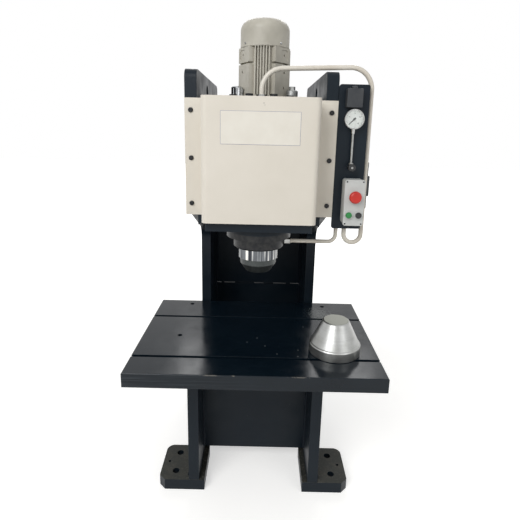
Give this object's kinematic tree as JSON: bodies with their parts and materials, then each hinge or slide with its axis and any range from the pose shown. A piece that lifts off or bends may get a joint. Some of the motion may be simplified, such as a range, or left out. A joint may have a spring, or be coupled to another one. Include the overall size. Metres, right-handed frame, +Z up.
{
  "type": "hydraulic press",
  "caption": "C-frame hydraulic press with a slotted table, a vertical cylinder behind a folded cover, an oil tank with motor and pump, and side controls.",
  "frame": {"origin": "on the floor, in the middle of the outline from the table's front edge to the frame's back edge", "axes": "+X to the right as seen from the front, +Y to the back, +Z up; the operator stands at -Y"},
  "size_m": [0.85, 0.9, 1.797],
  "materials": {
    "frame_paint": "semi-gloss dark grey machine paint",
    "table_paint": "smooth glossy dark grey paint, chipped at the front edge",
    "cover_paint": "cream powder coat",
    "pipe_paint": "cream paint",
    "motor_paint": "light grey paint",
    "black_steel": "black oxide",
    "bare_steel": "machined or zinc plated",
    "hard_chrome": "ground and hard chromed",
    "cast_aluminium": "cast, matt",
    "valve_iron": "painted casting",
    "black_plastic": "moulded",
    "gauge_steel": "pressed stainless steel",
    "gauge_glass": "clear",
    "box_plastic": "light grey moulding",
    "red_plastic": "red moulding",
    "green_plastic": "green moulding",
    "cone_steel": "turned and polished"
  },
  "bodies": {
    "press_frame": {"left_side_plate": "frame_paint", "right_side_plate": "frame_paint", "front_left_foot": "frame_paint", "front_right_foot": "frame_paint", "rear_left_foot": "frame_paint", "rear_right_foot": "frame_paint", "front_web_plate": "frame_paint", "lower_rear_web": "frame_paint", "upper_rear_web": "frame_paint", "cylinder_seat": "frame_paint", "cylinder_barrel": "frame_paint", "oil_tank": "frame_paint", "tank_lid": "frame_paint", "side_bracket": "frame_paint", "table": "table_paint", "front_cover": "cover_paint", "top_pipe": "pipe_paint", "bottom_pipe": "pipe_paint", "motor_flange": "motor_paint", "motor_body": "motor_paint", "fan_cowl": "motor_paint", "terminal_box": "motor_paint", "cylinder_screws": "black_steel", "cover_screws": "black_steel", "cylinder_gland": "black_steel", "cylinder_end_cap": "bare_steel", "lid_screws": "bare_steel", "supply_pipes": "bare_steel", "pipe_nuts": "bare_steel", "valve_manifold": "bare_steel", "filler_neck": "bare_steel", "gauge_line": "bare_steel", "gauge_shutoff": "bare_steel", "relief_valve": "bare_steel", "suction_strainer": "bare_steel", "return_filter": "cast_aluminium", "bell_housing": "cast_aluminium", "pump_body": "cast_aluminium", "level_gauge": "cast_aluminium", "pressure_switch": "cast_aluminium", "directional_valve": "valve_iron", "solenoid_coils": "black_plastic", "gauge_case": "gauge_steel", "gauge_glass": "gauge_glass", "button_box": "box_plastic", "pressing_cone": "cone_steel"},
    "ram": {"piston": "bare_steel", "piston_rod": "hard_chrome", "ram_nose": "black_steel"},
    "motor_rotor": {"rotor_shaft": "bare_steel", "fan": "black_plastic", "pump_drive_shaft": "bare_steel"},
    "oil_filler_cap": {"filler_cap": "hard_chrome"},
    "relief_adjuster": {"relief_knob": "black_plastic"},
    "gauge_tap": {"shutoff_knob": "black_plastic"},
    "gauge_pointer": {"gauge_needle": "black_plastic"},
    "stop_button": {"emergency_stop": "red_plastic"},
    "up_button": {"raise_button": "green_plastic"},
    "down_button": {"lower_button": "black_plastic"}
  },
  "joints": [
    {"name": "ram_travel", "type": "slide", "parent": "press_frame", "child": "ram", "axis": [0, 0, -1], "range_m": [0, 0.25]},
    {"name": "motor_spin", "type": "hinge", "parent": "press_frame", "child": "motor_rotor", "pos_m": [0.008, 0.2, 1.6], "axis": [0, 0, 1], "continuous": true},
    {"name": "filler_cap_turn", "type": "hinge", "parent": "press_frame", "child": "oil_filler_cap", "pos_m": [-0.1, 0.142, 1.52], "axis": [0, 0, 1], "range_deg": [0, 90]},
    {"name": "relief_knob_turn", "type": "hinge", "parent": "press_frame", "child": "relief_adjuster", "pos_m": [0.296, -0.046, 1.24], "axis": [0, 1, 0], "range_deg": [-360, 360]},
    {"name": "gauge_tap_turn", "type": "hinge", "parent": "press_frame", "child": "gauge_tap", "pos_m": [0.3, -0.242, 1.262], "axis": [0, 1, 0], "range_deg": [-360, 360]},
    {"name": "gauge_pointer_turn", "type": "hinge", "parent": "press_frame", "child": "gauge_pointer", "pos_m": [0.3, -0.2335, 1.416], "axis": [0, 1, 0], "range_deg": [0, 270], "stiffness_Nm_per_rad": 0.0005, "springref_deg": -11.46},
    {"name": "stop_press", "type": "slide", "parent": "press_frame", "child": "stop_button", "axis": [0, 1, 0], "range_m": [0, 0.004]},
    {"name": "raise_press", "type": "slide", "parent": "press_frame", "child": "up_button", "axis": [0, 1, 0], "range_m": [0, 0.003], "stiffness_N_per_m": 1500, "springref_m": -0.001},
    {"name": "lower_press", "type": "slide", "parent": "press_frame", "child": "down_button", "axis": [0, 1, 0], "range_m": [0, 0.003], "stiffness_N_per_m": 1500, "springref_m": -0.001}
  ]
}
